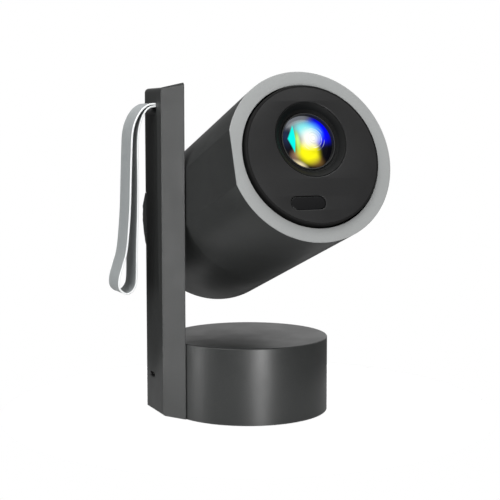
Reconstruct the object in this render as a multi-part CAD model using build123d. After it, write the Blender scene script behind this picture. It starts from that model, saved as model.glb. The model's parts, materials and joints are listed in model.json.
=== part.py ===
from build123d import *

import math
import os

# A home projector: a round projecting head that tilts on a side arm, above a round weighted
# base. All sizes are in millimetres. +Z is up, the lens looks towards -Y, the arm is at -X and
# the origin is the centre of the foot pad's underside.

# Driving dimensions
BODY_RADIUS = 55.0          # the head and the base have the same radius
REST_TILT = 19.1            # degrees the lens looks up in the stored position
WALL = 2.2                  # moulded casing walls
GAP = 0.3                   # between a panel and the opening that it fills

BASE_BOTTOM = 0.5           # the casing hangs just clear of the table
BASE_TOP = 51.9
PAD_THICKNESS = 1.0
PAD_RADIUS = 48.0

ARM_INNER = -53.0           # plane of the arm's face towards the head
ARM_OUTER = -63.3           # plane of the arm's outer face
ARM_FRONT_ROOT = -17.1      # where the front bevel starts, on the inner plane
ARM_FRONT_EDGE = 0.0        # where the front bevel meets the outer face
ARM_REAR_EDGE = 36.2        # where the outer face would meet the rear bevel if that edge were sharp
ARM_REAR_ROOT = 45.5        # where the rear bevel ends, on the inner plane
ARM_REAR_ROUND = 14.0       # that edge is a soft curve
ARM_TOP = 222.0             # height of the outer face; the top rises a little towards the head
ARM_TOP_RISE = 0.7
ARM_BROW = 225.1            # the top's highest corner, in front and towards the head
ARM_TOP_ROUND = 3.0
ARM_FOOT_CHAMFER = 1.0
ARM_FRONT_ROUND = 1.2
ARM_WALL = 2.0
CHASSIS_THICKNESS = 2.4

HEAD_CENTRE_HEIGHT = 144.9  # height of the head's axis above the base's centre
PIVOT_BACK = 18.04          # the pivot lies this far behind that point, along the axis
HEAD_FLAT = -52.2           # flat on the head's side, next to the arm
FRONT_RING_FACE = 102.5     # along the axis, from the head's centre
RING_THICKNESS = 0.8        # what shows of the ring's outer side
RING_INNER_RADIUS = 46.0
PANEL_FACE = 105.6
REAR_FACE = -79.8
REAR_ROUND = 14.0
PANEL_RADIUS = 44.9
PANEL_EDGE = 1.1            # chamfer on the panel's rim
LENS_UP = 9.8               # the optical axis is above the head's axis
LENS_WINDOW_RADIUS = 24.2
BARREL_RADIUS = 18.2
SENSOR_X, SENSOR_UP = -8.2, -30.6
REAR_COVER_RADIUS = 38.3

STRAP_WIDTH = 22.0
STRAP_FRONT = 9.7
STRAP_THICKNESS = 1.2
STRAP_PIVOT = (-65.4, 210.6)

tilt = math.radians(REST_TILT)
forward = Vector(0, -math.cos(tilt), math.sin(tilt))
head_frame = Plane(origin=(0, 0, HEAD_CENTRE_HEIGHT), x_dir=(1, 0, 0), z_dir=tuple(forward))
pivot_point = Vector(0, 0, HEAD_CENTRE_HEIGHT) - forward * PIVOT_BACK
PIVOT_Y, PIVOT_Z = pivot_point.Y, pivot_point.Z

nodes = {}


# Shared shapes
def keep(name, shape, in_head=False):
    """Store one piece; the head's pieces are drawn with the lens axis along +Z."""
    nodes[name] = shape.moved(head_frame.location) if in_head else shape


def block(x0, x1, y0, y1, z0, z1):
    size = (x1 - x0, y1 - y0, z1 - z0)
    return Pos(x0, y0, z0) * Box(*size, align=(Align.MIN,) * 3)


def disc(radius, z0, z1, x=0.0, y=0.0):
    return Pos(x, y, z0) * Cylinder(radius, z1 - z0, align=(Align.CENTER, Align.CENTER, Align.MIN))


def tube(outer, inner, z0, z1, x=0.0, y=0.0):
    return disc(outer, z0, z1, x, y) - disc(inner, z0 - 1, z1 + 1, x, y)


def rod_x(radius, x0, x1, y, z):
    return Pos(x0, y, z) * Rot(0, 90, 0) * disc(radius, 0, x1 - x0)


def turned(points, x=0.0, y=0.0):
    """A solid turned about +Z from (radius, height) points."""
    profile = make_face(Polyline(*[(r, 0, z) for r, z in points], close=True))
    return Pos(x, y, 0) * revolve(profile, Axis.Z)


def prism_z(points, z0, z1):
    return extrude(make_face(Polyline(*[(x, y, z0) for x, y in points], close=True)), z1 - z0, dir=(0, 0, 1))


def prism_y(edges, y0, y1):
    """An outline of edges in the XZ plane, drawn at y0, pushed back to y1."""
    return extrude(make_face(edges), y1 - y0, dir=(0, 1, 0))


def side_line(points, y):
    return Polyline(*[(x, y, z) for x, z in points])


def slot_solid(length, height, z0, z1, x, y):
    """A solid with round ends, along X."""
    reach = (length - height) / 2
    ends = [disc(height / 2, z0, z1, x + side * reach, y) for side in (-1, 1)]
    return block(x - reach, x + reach, y - height / 2, y + height / 2, z0, z1) + ends[0] + ends[1]


def flat_oval(x0, x1, straight, radius):
    """A bar along X whose section is flat above and below, with round sides."""
    ends = [Pos(x0, side * straight / 2, 0) * Rot(0, 90, 0) * disc(radius, 0, x1 - x0) for side in (-1, 1)]
    return block(x0, x1, -straight / 2, straight / 2, -radius, radius) + ends[0] + ends[1]


def right_of(plane_x, span=200):
    """Everything on the head's side of an upright plane."""
    return block(plane_x, plane_x + 2 * span, -span, span, -span, 2 * span)


def group(solids):
    return Compound(children=list(solids))


# Base
def base_shell():
    rim = 0.8
    outside = turned([(0, BASE_BOTTOM), (BODY_RADIUS, BASE_BOTTOM), (BODY_RADIUS, BASE_TOP - rim),
                      (BODY_RADIUS - rim, BASE_TOP), (0, BASE_TOP)])
    inside = disc(BODY_RADIUS - WALL, BASE_BOTTOM - 1, BASE_TOP - WALL)
    flat_inside = ARM_INNER + WALL + 0.2
    shell = outside & right_of(ARM_INNER)
    shell -= inside & right_of(flat_inside)
    for x, y in base_screw_places():
        shell += disc(2.9, 3.6, 14, x, y) & disc(BODY_RADIUS - 1, 3, 15)
    for x, y in base_screw_places():
        shell -= disc(1.3, 3, 12, x, y)
    for y, z in joint_screw_places():
        shell -= rod_x(1.55, ARM_INNER - 1, flat_inside + 1, y, z)
    return shell


def base_screw_places():
    return [(50.0 * math.cos(a), 50.0 * math.sin(a)) for a in map(math.radians, (-100, -20, 20, 100))]


def joint_screw_places():
    return [(y, z) for y in (-6.0, 8.0) for z in (18.0, 38.0)]


def base_plate():
    plate = disc(BODY_RADIUS - WALL - GAP, PAD_THICKNESS, 3.4) & right_of(ARM_INNER + WALL + 0.5)
    for x, y in base_screw_places():
        plate -= disc(1.5, 0, 5, x, y)
    return plate


def screw(head_radius, head_height, radius, length):
    """A pan-head screw, head down, its head's seat at z = 0 and its shank upwards."""
    body = disc(head_radius, -head_height, 0) + disc(radius, 0, length)
    return body - block(-head_radius, head_radius, -0.25, 0.25, -head_height, -head_height + 0.4)


def base_screws():
    seat = 1.9
    return group(Pos(x, y, seat) * screw(1.45, 0.8, 1.2, 8.5) for x, y in base_screw_places())


def build_base():
    keep("base_shell", base_shell())
    keep("base_plate", base_plate())
    keep("foot_pad", turned([(0, 0), (PAD_RADIUS - 0.4, 0), (PAD_RADIUS, 0.4), (PAD_RADIUS, PAD_THICKNESS),
                             (0, PAD_THICKNESS)]))
    keep("base_screws", base_screws())
    keep("ballast_weight", tube(44, 5, 3.6, 14.0) & right_of(-46))
    board = block(-30, 32, -24, 24, 22.0, 23.6)
    legs = [(x, y) for x in (-26, 28) for y in (-20, 20)]
    for x, y in legs:
        board -= disc(1.6, 21, 25, x, y)
    keep("power_board", board)
    keep("board_posts", group(disc(2.6, 14.1, 21.9, x, y) for x, y in legs))
    parts = [block(-14, 8, -14, 8, 23.7, 40)]
    parts += [disc(5.0, 23.7, 44, 20, y) for y in (-12, 1, 14)]
    keep("power_parts", group(parts))
    screws = [Pos(ARM_INNER + WALL + 0.2, y, z) * Rot(0, -90, 0) * screw(2.7, 1.6, 1.5, 4.2)
              for y, z in joint_screw_places()]
    keep("arm_base_screws", group(screws))


# Arm
def arm_plan(inset, x_inner, x_outer):
    """The arm's four-sided section, its bevels moved inwards by inset."""
    def bevel_y(root, edge, sign, x):
        run, rise = ARM_OUTER - ARM_INNER, edge - root
        return root + (x - ARM_INNER) / run * rise + sign * inset * math.hypot(run, rise) / abs(run)
    return [(x_inner, bevel_y(ARM_FRONT_ROOT, ARM_FRONT_EDGE, 1, x_inner)),
            (x_outer, bevel_y(ARM_FRONT_ROOT, ARM_FRONT_EDGE, 1, x_outer)),
            (x_outer, bevel_y(ARM_REAR_ROOT, ARM_REAR_EDGE, -1, x_outer)),
            (x_inner, bevel_y(ARM_REAR_ROOT, ARM_REAR_EDGE, -1, x_inner))]


def arm_section(inset, x_inner):
    """The arm's section as a face, with its front edge crisp and its rear edge a soft curve."""
    x_outer = ARM_OUTER + inset
    section = make_face(Polyline(*[(x, y, 0) for x, y in arm_plan(inset, x_inner, x_outer)], close=True))
    outer_edges = sorted((v for v in section.vertices() if v.X < x_outer + 0.1), key=lambda v: v.Y)
    section = fillet(outer_edges[-1], ARM_REAR_ROUND - inset)
    if inset < ARM_FRONT_ROUND:
        front_edge = min((v for v in section.vertices() if v.X < x_outer + 0.1), key=lambda v: v.Y)
        section = fillet(front_edge, ARM_FRONT_ROUND - inset)
    return section


def below(point, normal):
    """Everything under a sloping plane."""
    under = Box(600, 600, 600, align=(Align.CENTER, Align.CENTER, Align.MAX))
    return Plane(origin=point, z_dir=normal).location * under


def arm_outside():
    """The arm's outer form: a plan with bevels, a top that rises to a brow in front, a soft rim."""
    foot = ARM_FOOT_CHAMFER
    side = side_line([(ARM_OUTER + foot, BASE_BOTTOM), (ARM_INNER, BASE_BOTTOM), (ARM_INNER, 240),
                      (ARM_OUTER, 240), (ARM_OUTER, BASE_BOTTOM + foot), (ARM_OUTER + foot, BASE_BOTTOM)], -40)
    body = Pos(0, 0, BASE_BOTTOM) * extrude(arm_section(0, ARM_INNER), 240, dir=(0, 0, 1)) & prism_y(side, -40, 60)
    across = ARM_INNER - ARM_OUTER
    main_top = below((ARM_OUTER, 0, ARM_TOP), (-ARM_TOP_RISE / across, 0, 1))
    rim = [e for e in (body & main_top).edges()
           if e.center().Z > ARM_TOP - 1 and e.center().X < ARM_INNER - 0.5 and e.center().Y > 4]
    rounded = fillet(rim, ARM_TOP_ROUND)
    brow_top = below((ARM_INNER, ARM_FRONT_ROOT, ARM_BROW), (-0.175, 0.077, 1))
    behind_round = block(ARM_OUTER + ARM_TOP_ROUND, ARM_INNER, -40, 10, 200, 240)
    front = block(ARM_OUTER - 1, ARM_INNER, -40, 0, 200, 240)
    form = rounded + (body & brow_top & (behind_round + front))
    low, high = Vector(ARM_OUTER, ARM_FRONT_EDGE, ARM_TOP - 0.7), Vector(ARM_INNER, ARM_FRONT_ROOT, ARM_BROW - 1.5)
    inwards = Vector(ARM_FRONT_EDGE - ARM_FRONT_ROOT, across, 0).normalized()
    uphill = inwards * math.cos(math.radians(60)) + Vector(0, 0, 1) * math.sin(math.radians(60))
    normal = (high - low).cross(uphill).normalized()
    return form & below(tuple(low), tuple(normal if normal.Z > 0 else -normal))


def strap_notch():
    """The strap's exit: a flat roof, and a lip rounded so that the strap bends softly."""
    roof, floor, back, lip = 212.1, 209.0, -56.2, 204.3
    y0 = STRAP_FRONT - GAP
    upper = side_line([(ARM_OUTER - 5, lip), (ARM_OUTER - 5, roof), (back, roof), (back, floor)], y0)
    curve = ThreePointArc((back, y0, floor), (-60.9, y0, 207.7), (ARM_OUTER, y0, lip))
    bottom = side_line([(ARM_OUTER, lip), (ARM_OUTER - 5, lip)], y0)
    return prism_y(upper + curve + bottom, y0, 50)


def arm_boss_places():
    return [(14.0, 66.0), (14.0, 104.0), (22.0, 176.0), (12.0, 194.0)]


INLET_Y, INLET_Z = 20.6, 25.5
KEY_Z0, KEY_PEAK, KEY_Z1 = 123.2, 141.0, 150.5
PIN_X, PIN_Z = -57.6, 210.55


def arm_cover():
    outside = arm_outside()
    room = Pos(0, 0, 2.5) * extrude(arm_section(ARM_WALL, ARM_INNER + 4), 217.5, dir=(0, 0, 1))
    cover = outside - room
    cover += outside & block(ARM_OUTER, ARM_INNER - CHASSIS_THICKNESS - 0.1, -20, 50, 199, 217)
    cover -= strap_notch()
    cover -= Pos(PIN_X, 6.4, PIN_Z) * Rot(-90, 0, 0) * disc(0.95, 0, 5)
    bosses_end = ARM_INNER - CHASSIS_THICKNESS - 0.1
    for y, z in arm_boss_places():
        cover += rod_x(2.8, ARM_OUTER + 1, bosses_end, y, z)
        cover -= rod_x(1.2, ARM_OUTER + 2.4, bosses_end + 1, y, z)
    cover -= Pos(ARM_OUTER + 5, INLET_Y, INLET_Z) * flat_oval(-10, 0, 5.9, 1.85)
    cover -= block(ARM_OUTER - 1, -57.6, 30.4, 50, KEY_Z0 - GAP, KEY_Z1 + GAP)
    return cover


def arm_chassis():
    back = ARM_INNER - CHASSIS_THICKNESS
    plate = prism_z(arm_plan(ARM_WALL + 0.15, ARM_INNER, back), 2.7, 219.8)
    plate -= rod_x(8.05, back - 1, ARM_INNER + 1, PIVOT_Y, PIVOT_Z)
    for y, z in arm_boss_places():
        plate -= rod_x(1.4, back - 1, ARM_INNER + 1, y, z)
        plate -= rod_x(2.5, ARM_INNER - 1.3, ARM_INNER + 1, y, z)
    for y, z in joint_screw_places():
        plate -= rod_x(1.55, back - 1, ARM_INNER + 1, y, z)
    return plate


def build_arm():
    back = ARM_INNER - CHASSIS_THICKNESS
    keep("arm_cover", arm_cover())
    keep("arm_chassis", arm_chassis())
    screws = [Pos(ARM_INNER - 1.3, y, z) * Rot(0, -90, 0) * screw(2.3, 1.2, 1.15, 6.0)
              for y, z in arm_boss_places()]
    keep("arm_screws", group(screws))
    plate = block(back - 1.6, back - 0.1, 3.0, 30.5, 121, 157)
    keep("hinge_plate", plate - rod_x(10.3, back - 3, back + 1, PIVOT_Y, PIVOT_Z))
    bush = rod_x(8.0, back - 1.0, ARM_INNER, PIVOT_Y, PIVOT_Z)
    bush += rod_x(10.0, back - 1.0, back - 0.05, PIVOT_Y, PIVOT_Z)
    keep("hinge_bush", bush - rod_x(6.06, back - 3, ARM_INNER + 1, PIVOT_Y, PIVOT_Z))
    keep("strap_pin", Pos(PIN_X, 6.6, PIN_Z) * Rot(-90, 0, 0) * disc(0.9, 0, STRAP_FRONT + STRAP_WIDTH - 6.6))
    key = extrude(make_face(Polyline((-63.2, 29.2, KEY_Z0), (-63.2, 33.6, KEY_Z0), (-63.2, 39.4, KEY_PEAK),
                                     (-63.2, 33.6, KEY_Z1), (-63.2, 29.2, KEY_Z1), close=True)),
                  5.3, dir=(1, 0, 0))
    key -= block(-64, -61.0, 28, 31.2, 120, 155)
    key += block(-60.9, -57.9, 28.9, 31.0, KEY_Z0 - 1.7, KEY_Z1 + 1.7)
    keep("power_key", key)
    keep("key_board", block(-61.0, -57.6, 25.1, 26.3, 129, 148))
    keep("key_switch", block(-60.7, -57.8, 26.35, 27.4, 134, 140) + block(-60.0, -58.5, 27.3, 28.2, 136.2, 137.8))
    keep("inlet_board", block(-61.2, -55.6, 9.0, 29.5, INLET_Z - 3.0, INLET_Z - 1.7))
    shell = flat_oval(0, 6.8, 5.7, 1.65) - flat_oval(-1, 6.0, 5.7, 1.3)
    tongue = block(0.8, 6.4, -3.3, 3.3, -0.35, 0.35)
    keep("power_inlet", Pos(ARM_OUTER + 0.3, INLET_Y, INLET_Z) * (shell + tongue))


# Carrying strap: plain solids of the right size; the fixed end wraps the pin
def strap_centreline():
    """Down the outer layer, round the drop-shaped end and up the inner layer, as (x, z)."""
    return [(-69.3, 210.6), (-74.3, 206.0), (-77.5, 200.0), (-79.7, 192.5), (-80.4, 181.0), (-81.2, 160.0),
            (-82.1, 138.0), (-84.4, 114.0), (-87.4, 103.0), (-90.1, 94.5), (-89.9, 88.0), (-87.0, 84.7),
            (-83.3, 84.0), (-79.4, 87.2), (-77.9, 93.5), (-77.4, 114.0), (-76.5, 138.0), (-76.1, 160.0),
            (-76.1, 181.0), (-75.5, 192.0), (-73.6, 200.0), (-70.9, 205.6), (-67.6, 209.0)]


def strap_loop():
    line = Spline(*[(x, 0, z) for x, z in strap_centreline()])
    steps = 90
    outer, inner = [], []
    for i in range(steps + 1):
        point, along = line @ (i / steps), line % (i / steps)
        out = Vector(-along.Z, 0, along.X) * (STRAP_THICKNESS / 2)
        outer.append((point - out, point + out))
    band = make_face(Polyline(*[tuple(p) for p, q in outer], *[tuple(q) for p, q in reversed(outer)], close=True))
    strip = extrude(band, STRAP_WIDTH, dir=(0, 1, 0))
    px, pz = STRAP_PIVOT
    neck = Pos(px, 0, pz) * Rot(-90, 0, 0) * disc(1.3, 0, STRAP_WIDTH)
    neck += block(px - 4.5, px, 0, STRAP_WIDTH, pz - 1.3, pz + 1.1)
    return Pos(0, STRAP_FRONT, 0) * (strip + neck)


def build_strap():
    px, pz = STRAP_PIVOT
    anchor = block(px + 1.65, -56.5, STRAP_FRONT, STRAP_FRONT + STRAP_WIDTH, pz - 1.3, pz + 1.3)
    anchor -= Pos(PIN_X, 0, PIN_Z) * Rot(-90, 0, 0) * disc(0.95, 0, 60)
    keep("strap_anchor", anchor)
    keep("strap_loop", strap_loop())


# Head casing, drawn with the lens axis along +Z, up along +Y
def head_shell():
    end = FRONT_RING_FACE - RING_THICKNESS

    def cup(radius, rear, bend, front, hole):
        steps = 10
        turn = [(radius - bend + bend * math.cos(a), rear + bend - bend * math.sin(a))
                for a in [math.pi / 2 * i / steps for i in range(steps + 1)]]
        return turned([(hole, front), (radius, front)] + turn + [(hole, rear)])

    outside = cup(BODY_RADIUS, REAR_FACE, REAR_ROUND, end, 0)
    inside = cup(BODY_RADIUS - WALL, REAR_FACE + WALL, REAR_ROUND - WALL, end + 1, 0)
    shell = (outside & right_of(HEAD_FLAT)) - (inside & right_of(HEAD_FLAT + 2.7))
    shell -= disc(REAR_COVER_RADIUS + 0.2, REAR_FACE - 1, REAR_FACE + WALL + 1)
    shell -= rod_x(6.4, HEAD_FLAT - 1, HEAD_FLAT + 4, 0, -PIVOT_BACK)
    for y, z in hinge_screw_places():
        shell -= rod_x(1.3, HEAD_FLAT + 0.6, HEAD_FLAT + 4, y, z)
    return shell


def hinge_screw_places():
    return [(10.5 * math.cos(a), -PIVOT_BACK + 10.5 * math.sin(a))
            for a in [math.radians(45 + 90 * i) for i in range(4)]]


def front_ring():
    """A ring that caps the casing, with a spigot that reaches into it beside the inner flat."""
    face, seat, bore = FRONT_RING_FACE, FRONT_RING_FACE - RING_THICKNESS, RING_INNER_RADIUS
    ring = turned([(bore, face - 4.0), (49.6, face - 4.0), (49.6, face - 7.0), (52.5, face - 7.0), (52.5, seat),
                   (BODY_RADIUS, seat), (BODY_RADIUS, face - 0.3), (BODY_RADIUS - 0.3, face),
                   (bore + 0.4, face), (bore, face - 0.4)])
    beside_flat = tube(60, 45, face - 8, seat) & block(-70, HEAD_FLAT + 2.9, -60, 60, 0, 200)
    return (ring & right_of(HEAD_FLAT)) - beside_flat


def front_panel():
    s = PANEL_FACE
    panel = turned([(0, s), (PANEL_RADIUS - PANEL_EDGE, s), (PANEL_RADIUS, s - PANEL_EDGE), (PANEL_RADIUS, s - 7.4),
                    (47.4, s - 7.4), (47.4, s - 9.1), (42.7, s - 9.1), (42.7, s - 2.5), (0, s - 2.5)])
    panel -= disc(LENS_WINDOW_RADIUS, s - 5, s + 1, 0, LENS_UP)
    return panel - slot_solid(23.7, 8.7, s - 5, s + 1, SENSOR_X, SENSOR_UP)


def lens_bezel():
    s, bore = PANEL_FACE, 18.6
    return turned([(bore, s - 8.6), (20.2, s - 8.6), (20.2, s - 4.2), (27.0, s - 4.2), (27.0, s - 2.6),
                   (24.1, s - 2.6), (24.1, s - 0.3), (23.7, s - 0.2), (bore, s - 4.0)], 0, LENS_UP)


def rear_cover():
    s = REAR_FACE
    cover = disc(REAR_COVER_RADIUS, s, s + 2.4) + disc(REAR_COVER_RADIUS + 3.4, s + 2.4, s + 4.0)
    cover -= disc(REAR_COVER_RADIUS - 3, s + 2.4, s + 5)
    for i in range(11):
        y = -10.0 + 4.0 * i
        half = math.sqrt(max(34.0 ** 2 - y ** 2, 0)) - 1.0
        cover -= slot_solid(2 * half, 2.0, s - 1, s + 3, 0, y)
    for i in range(3):
        y = -32.0 + 3.2 * i
        cover -= slot_solid(2 * math.sqrt(34.0 ** 2 - y ** 2) - 3.0, 1.6, s - 1, s + 3, 0, y)
    cover -= block(-17.6, -2.2, -22.6, -16.2, s - 1, s + 3)
    cover -= block(2.9, 17.1, -22.6, -15.4, s - 1, s + 3)
    for x, y in rear_screw_places():
        cover -= disc(1.4, s - 1, s + 5, x, y)
        cover += tube(3.0, 1.4, s + 1, s + 4.0, x, y)
    return cover


def rear_screw_places():
    return [(-30.0, -18.5), (30.0, -18.5)]


def socket(width, height, depth, tongue_width, tongue_height):
    """A metal input socket, its mouth at z = 0 facing -Z, standing on y = 0."""
    shell = block(-width / 2, width / 2, 0, height, 0, depth)
    shell -= block(-width / 2 + 0.5, width / 2 - 0.5, 0.5, height - 0.5, -1, depth - 1.0)
    middle = height / 2
    return shell + block(-tongue_width / 2, tongue_width / 2, middle - tongue_height / 2,
                         middle + tongue_height / 2, 1.2, depth - 0.5)


def build_head_casing():
    keep("head_shell", head_shell(), True)
    keep("front_ring", front_ring(), True)
    keep("front_panel", front_panel(), True)
    keep("lens_bezel", lens_bezel(), True)
    s = PANEL_FACE
    keep("sensor_window", slot_solid(23.1, 8.1, s - 2.2, s - 0.5, SENSOR_X, SENSOR_UP), True)
    module = block(SENSOR_X - 12, SENSOR_X + 12, SENSOR_UP - 5, SENSOR_UP + 5, s - 8, s - 6.8)
    for x in (-6.0, 0.0, 6.0):
        module += disc(2.2, s - 6.8, s - 3.0, SENSOR_X + x, SENSOR_UP)
    keep("sensor_module", module, True)
    keep("rear_cover", rear_cover(), True)
    screws = [Pos(x, y, REAR_FACE + 0.8) * screw(1.3, 0.6, 1.1, 6.0) for x, y in rear_screw_places()]
    keep("rear_screws", group(screws), True)
    board_top = -22.4
    keep("hdmi_socket", Pos(-9.9, board_top, REAR_FACE + 0.3) * socket(14.9, 5.8, 11.0, 10.4, 1.2), True)
    keep("usb_socket", Pos(10.0, board_top, REAR_FACE + 0.3) * socket(13.6, 6.6, 13.0, 11.0, 1.8), True)


# Light engine and lens
def build_engine():
    y0 = LENS_UP
    housing = block(-35, 35, y0 - 25, y0 + 25, 5.2, 57.8) - block(-33, 33, y0 - 23, y0 + 23, 0, 60)
    corners = [(x, y0 + y) for x in (-30.2, 30.2) for y in (-20.2, 20.2)]
    for x, y in corners:
        post = block(x - 2.8, x + 2.8, y - 2.8, y + 2.8, 49.0, 57.8) - disc(1.2, 50, 60, x, y)
        housing += post
    keep("engine_housing", housing, True)
    for name, z0, z1 in (("fresnel_front", 45.6, 47.2), ("lcd_panel", 38.5, 40.7), ("fresnel_rear", 31.0, 32.6)):
        keep(name, block(-32.8, 32.8, y0 - 22.8, y0 + 22.8, z0, z1), True)
    keep("condenser_lens", lens_solid(20.0, 13.0, 15.0, 0.2, 5.0), True)
    keep("led_board", block(-22, 22, y0 - 22, y0 + 22, 3.3, 5.0), True)
    keep("led_chip", block(-7, 7, y0 - 7, y0 + 7, 5.05, 6.6), True)
    sink = block(-29, 29, y0 - 22, y0 + 22, -2.0, 3.2)
    fins = 12
    for i in range(fins):
        x = -28.0 + 56.0 * i / (fins - 1)
        sink += block(x - 0.7, x + 0.7, y0 - 22, y0 + 22, -40.0, -1.5)
    keep("heat_sink", sink, True)

    holder = block(-35, 35, y0 - 25, y0 + 25, 58.0, 60.5) + disc(20.3, 60.0, 77.8, 0, y0)
    holder -= disc(BARREL_RADIUS + 0.08, 50, 80, 0, y0)
    for x, y in corners:
        holder -= disc(1.4, 57, 62, x, y)
    keep("lens_holder", holder, True)
    screws = [Pos(x, y, 60.55) * Rot(180, 0, 0) * screw(2.3, 1.5, 1.15, 8.0) for x, y in corners]
    keep("engine_screws", group(screws), True)


def lens_solid(radius, z0, z1, rear_bulge, front_bulge):
    """A round glass whose faces are spherical caps of the given heights."""
    glass = disc(radius, z0, z1, 0, LENS_UP)
    for edge, bulge, side in ((z0, rear_bulge, -1), (z1, front_bulge, 1)):
        ball = (radius ** 2 + bulge ** 2) / (2 * bulge)
        sphere = Pos(0, LENS_UP, edge - side * (ball - bulge)) * Sphere(ball)
        low, high = (edge, edge + 2 * bulge) if side > 0 else (edge - 2 * bulge, edge)
        glass += sphere & disc(radius, low, high, 0, LENS_UP)
    return glass


def gear(module, teeth, z0, z1, bore):
    """A spur gear with involute flanks, one tooth pointing along +X."""
    pressure = math.radians(20)
    pitch = module * teeth / 2
    base = pitch * math.cos(pressure)
    tip, root = pitch + 0.8 * module, pitch - 1.05 * module
    half = math.pi / 2 / teeth - 0.07 / pitch

    def roll(angle):
        return math.tan(angle) - angle

    flank = [(root, half + roll(pressure))]
    for i in range(5):
        r = max(base, root + 0.05) + (tip - max(base, root + 0.05)) * i / 4
        flank.append((r, half + roll(pressure) - roll(math.acos(min(1.0, base / r)))))
    outline = []
    for k in range(teeth):
        middle = 2 * math.pi * k / teeth
        side = [(r, middle - a) for r, a in flank] + [(r, middle + a) for r, a in reversed(flank)]
        outline += [(r * math.cos(a), r * math.sin(a)) for r, a in side]
    body = prism_z(outline, z0, z1)
    return body - disc(bore, z0 - 1, z1 + 1) if bore else body


def build_focus():
    y0 = LENS_UP
    barrel = disc(BARREL_RADIUS, 62.0, 101.9, 0, y0) - disc(16.4, 60, 104, 0, y0)
    barrel -= disc(17.5, 92.0, 104, 0, y0)
    keep("lens_barrel", barrel, True)
    keep("front_lens", lens_solid(17.4, 92.4, 98.6, 1.0, 3.2), True)
    keep("middle_lens", lens_solid(16.3, 80.0, 83.0, 1.2, 0.8), True)
    keep("rear_lens", lens_solid(16.3, 66.0, 69.0, 2.0, 1.4), True)
    keep("focus_ring", Pos(0, y0, 0) * gear(1.0, 48, 65.0, 73.0, 20.38), True)
    angle = math.radians(-45)
    px, py = 30.0 * math.cos(angle), y0 + 30.0 * math.sin(angle)
    pinion = gear(1.0, 12, 65.2, 72.8, 0) + disc(1.0, 72.0, 79.4)
    keep("motor_pinion", Pos(px, py, 0) * pinion, True)
    plate = disc(24.0, 73.4, 75.4, 0, y0) + disc(9.5, 73.4, 75.4, px, py)
    plate += Pos(px * 0.5, (py + y0) / 2, 74.4) * Rot(0, 0, -45) * Box(22, 17, 2.0)
    plate -= disc(20.32, 72, 77, 0, y0) + disc(1.4, 72, 77, px, py)
    keep("motor_plate", plate, True)
    motor = disc(7.5, 75.5, 90.0, px, py) - disc(1.06, 74, 80, px, py)
    keep("focus_motor", motor + block(px + 5, px + 11, py - 4, py + 4, 78, 86), True)


def build_cooling_and_boards():
    y0, s = LENS_UP, -60.0
    frame = block(-30, 30, y0 - 30, y0 + 30, s, s + 15) - disc(28.5, s - 1, s + 16, 0, y0)
    for turn in (90, 210, 330):
        strut = Pos(0, y0, 0) * Rot(0, 0, turn) * block(10, 29.5, -1.5, 1.5, s, s + 1.6)
        frame += strut
    frame += disc(12, s, s + 1.6, 0, y0) + disc(3.0, s + 1.0, s + 8.0, 0, y0)
    frame -= disc(1.56, s + 1.7, s + 9, 0, y0)
    for x in (-26, 26):
        for y in (y0 - 26, y0 + 26):
            frame -= disc(1.9, s - 1, s + 16, x, y)
    keep("fan_frame", frame, True)
    rotor = disc(12, s + 2.2, s + 12.5, 0, y0) - disc(10.5, s + 1, s + 11.0, 0, y0)
    rotor += disc(1.5, s + 2.2, s + 11.5, 0, y0)
    blades = 7
    for i in range(blades):
        blade = Rot(38, 0, 0) * block(0, 15.6, -0.6, 0.6, -4.6, 4.6)
        rotor += Pos(0, y0, s + 7.6) * Rot(0, 0, 360.0 * i / blades) * Pos(11.6, 0, 0) * blade
    keep("fan_rotor", rotor, True)
    keep("main_board", block(-31, 31, -24.1, -22.5, REAR_FACE + 4.4, 40), True)
    box = block(-22, 22, -41.5, -27.5, -72.0, -40) - disc(6.05, -73, -64, 0, -34.5)
    keep("speaker_box", box, True)
    cone = turned([(0, -66.2), (5.9, -70.5), (5.9, -69.6), (0, -64.6)])
    keep("speaker_cone", Pos(0, -34.5, 0) * cone, True)


def build_hinge():
    """The shaft is bolted to the head and turns in the arm's bush; washers and a nut clamp it."""
    def along_x(radius, x0, x1):
        return rod_x(radius, x0, x1, 0, -PIVOT_BACK)

    inside = HEAD_FLAT + 2.75
    shaft = along_x(15.0, inside, inside + 3.0) + along_x(6.0, -60.6, inside)
    shaft -= along_x(3.0, -62, inside + 4)
    for y, z in hinge_screw_places():
        shaft -= rod_x(1.35, inside - 1, inside + 4, y, z)
    keep("hinge_shaft", shaft, True)
    screws = [Pos(inside + 3.05, y, z) * Rot(0, -90, 0) * screw(2.3, 1.5, 1.2, 4.9)
              for y, z in hinge_screw_places()]
    keep("hinge_screws", group(screws), True)
    keep("hinge_washer", along_x(14.0, -52.94, -52.26) - along_x(6.1, -54, -51), True)
    washers = [along_x(7.7, x, x + 0.55) - along_x(6.1, x - 1, x + 2) for x in (-57.05, -57.65)]
    keep("friction_washers", group(washers), True)
    hexagon = [(7.4 * math.cos(a), 7.4 * math.sin(a)) for a in [math.radians(60 * i) for i in range(6)]]
    nut = Pos(-60.2, 0, -PIVOT_BACK) * Rot(0, 90, 0) * prism_z(hexagon, 0, 2.5)
    keep("hinge_nut", nut - along_x(6.03, -61, -57), True)


build_base()
build_arm()
build_strap()
build_head_casing()
build_engine()
build_focus()
build_cooling_and_boards()
build_hinge()

os.makedirs("parts", exist_ok=True)
for name, shape in nodes.items():
    export_step(shape, f"parts/{name}.step")
print(len(nodes), "nodes; pivot at", round(PIVOT_Y, 3), round(PIVOT_Z, 3))
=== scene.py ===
# %% [markdown]
# # A home projector on its side arm
# The object is a round projecting head that tilts on a slim upright arm. The arm stands beside a
# round, weighted base, and a flat carrying strap hangs from a slot near the arm's top.
# The mechanical model is loaded first, as a frame that never moves. Every piece that this lesson
# makes is measured from that frame, so nothing has to be fitted by eye afterwards.

# %% Load the frame
import json
import math

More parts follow.
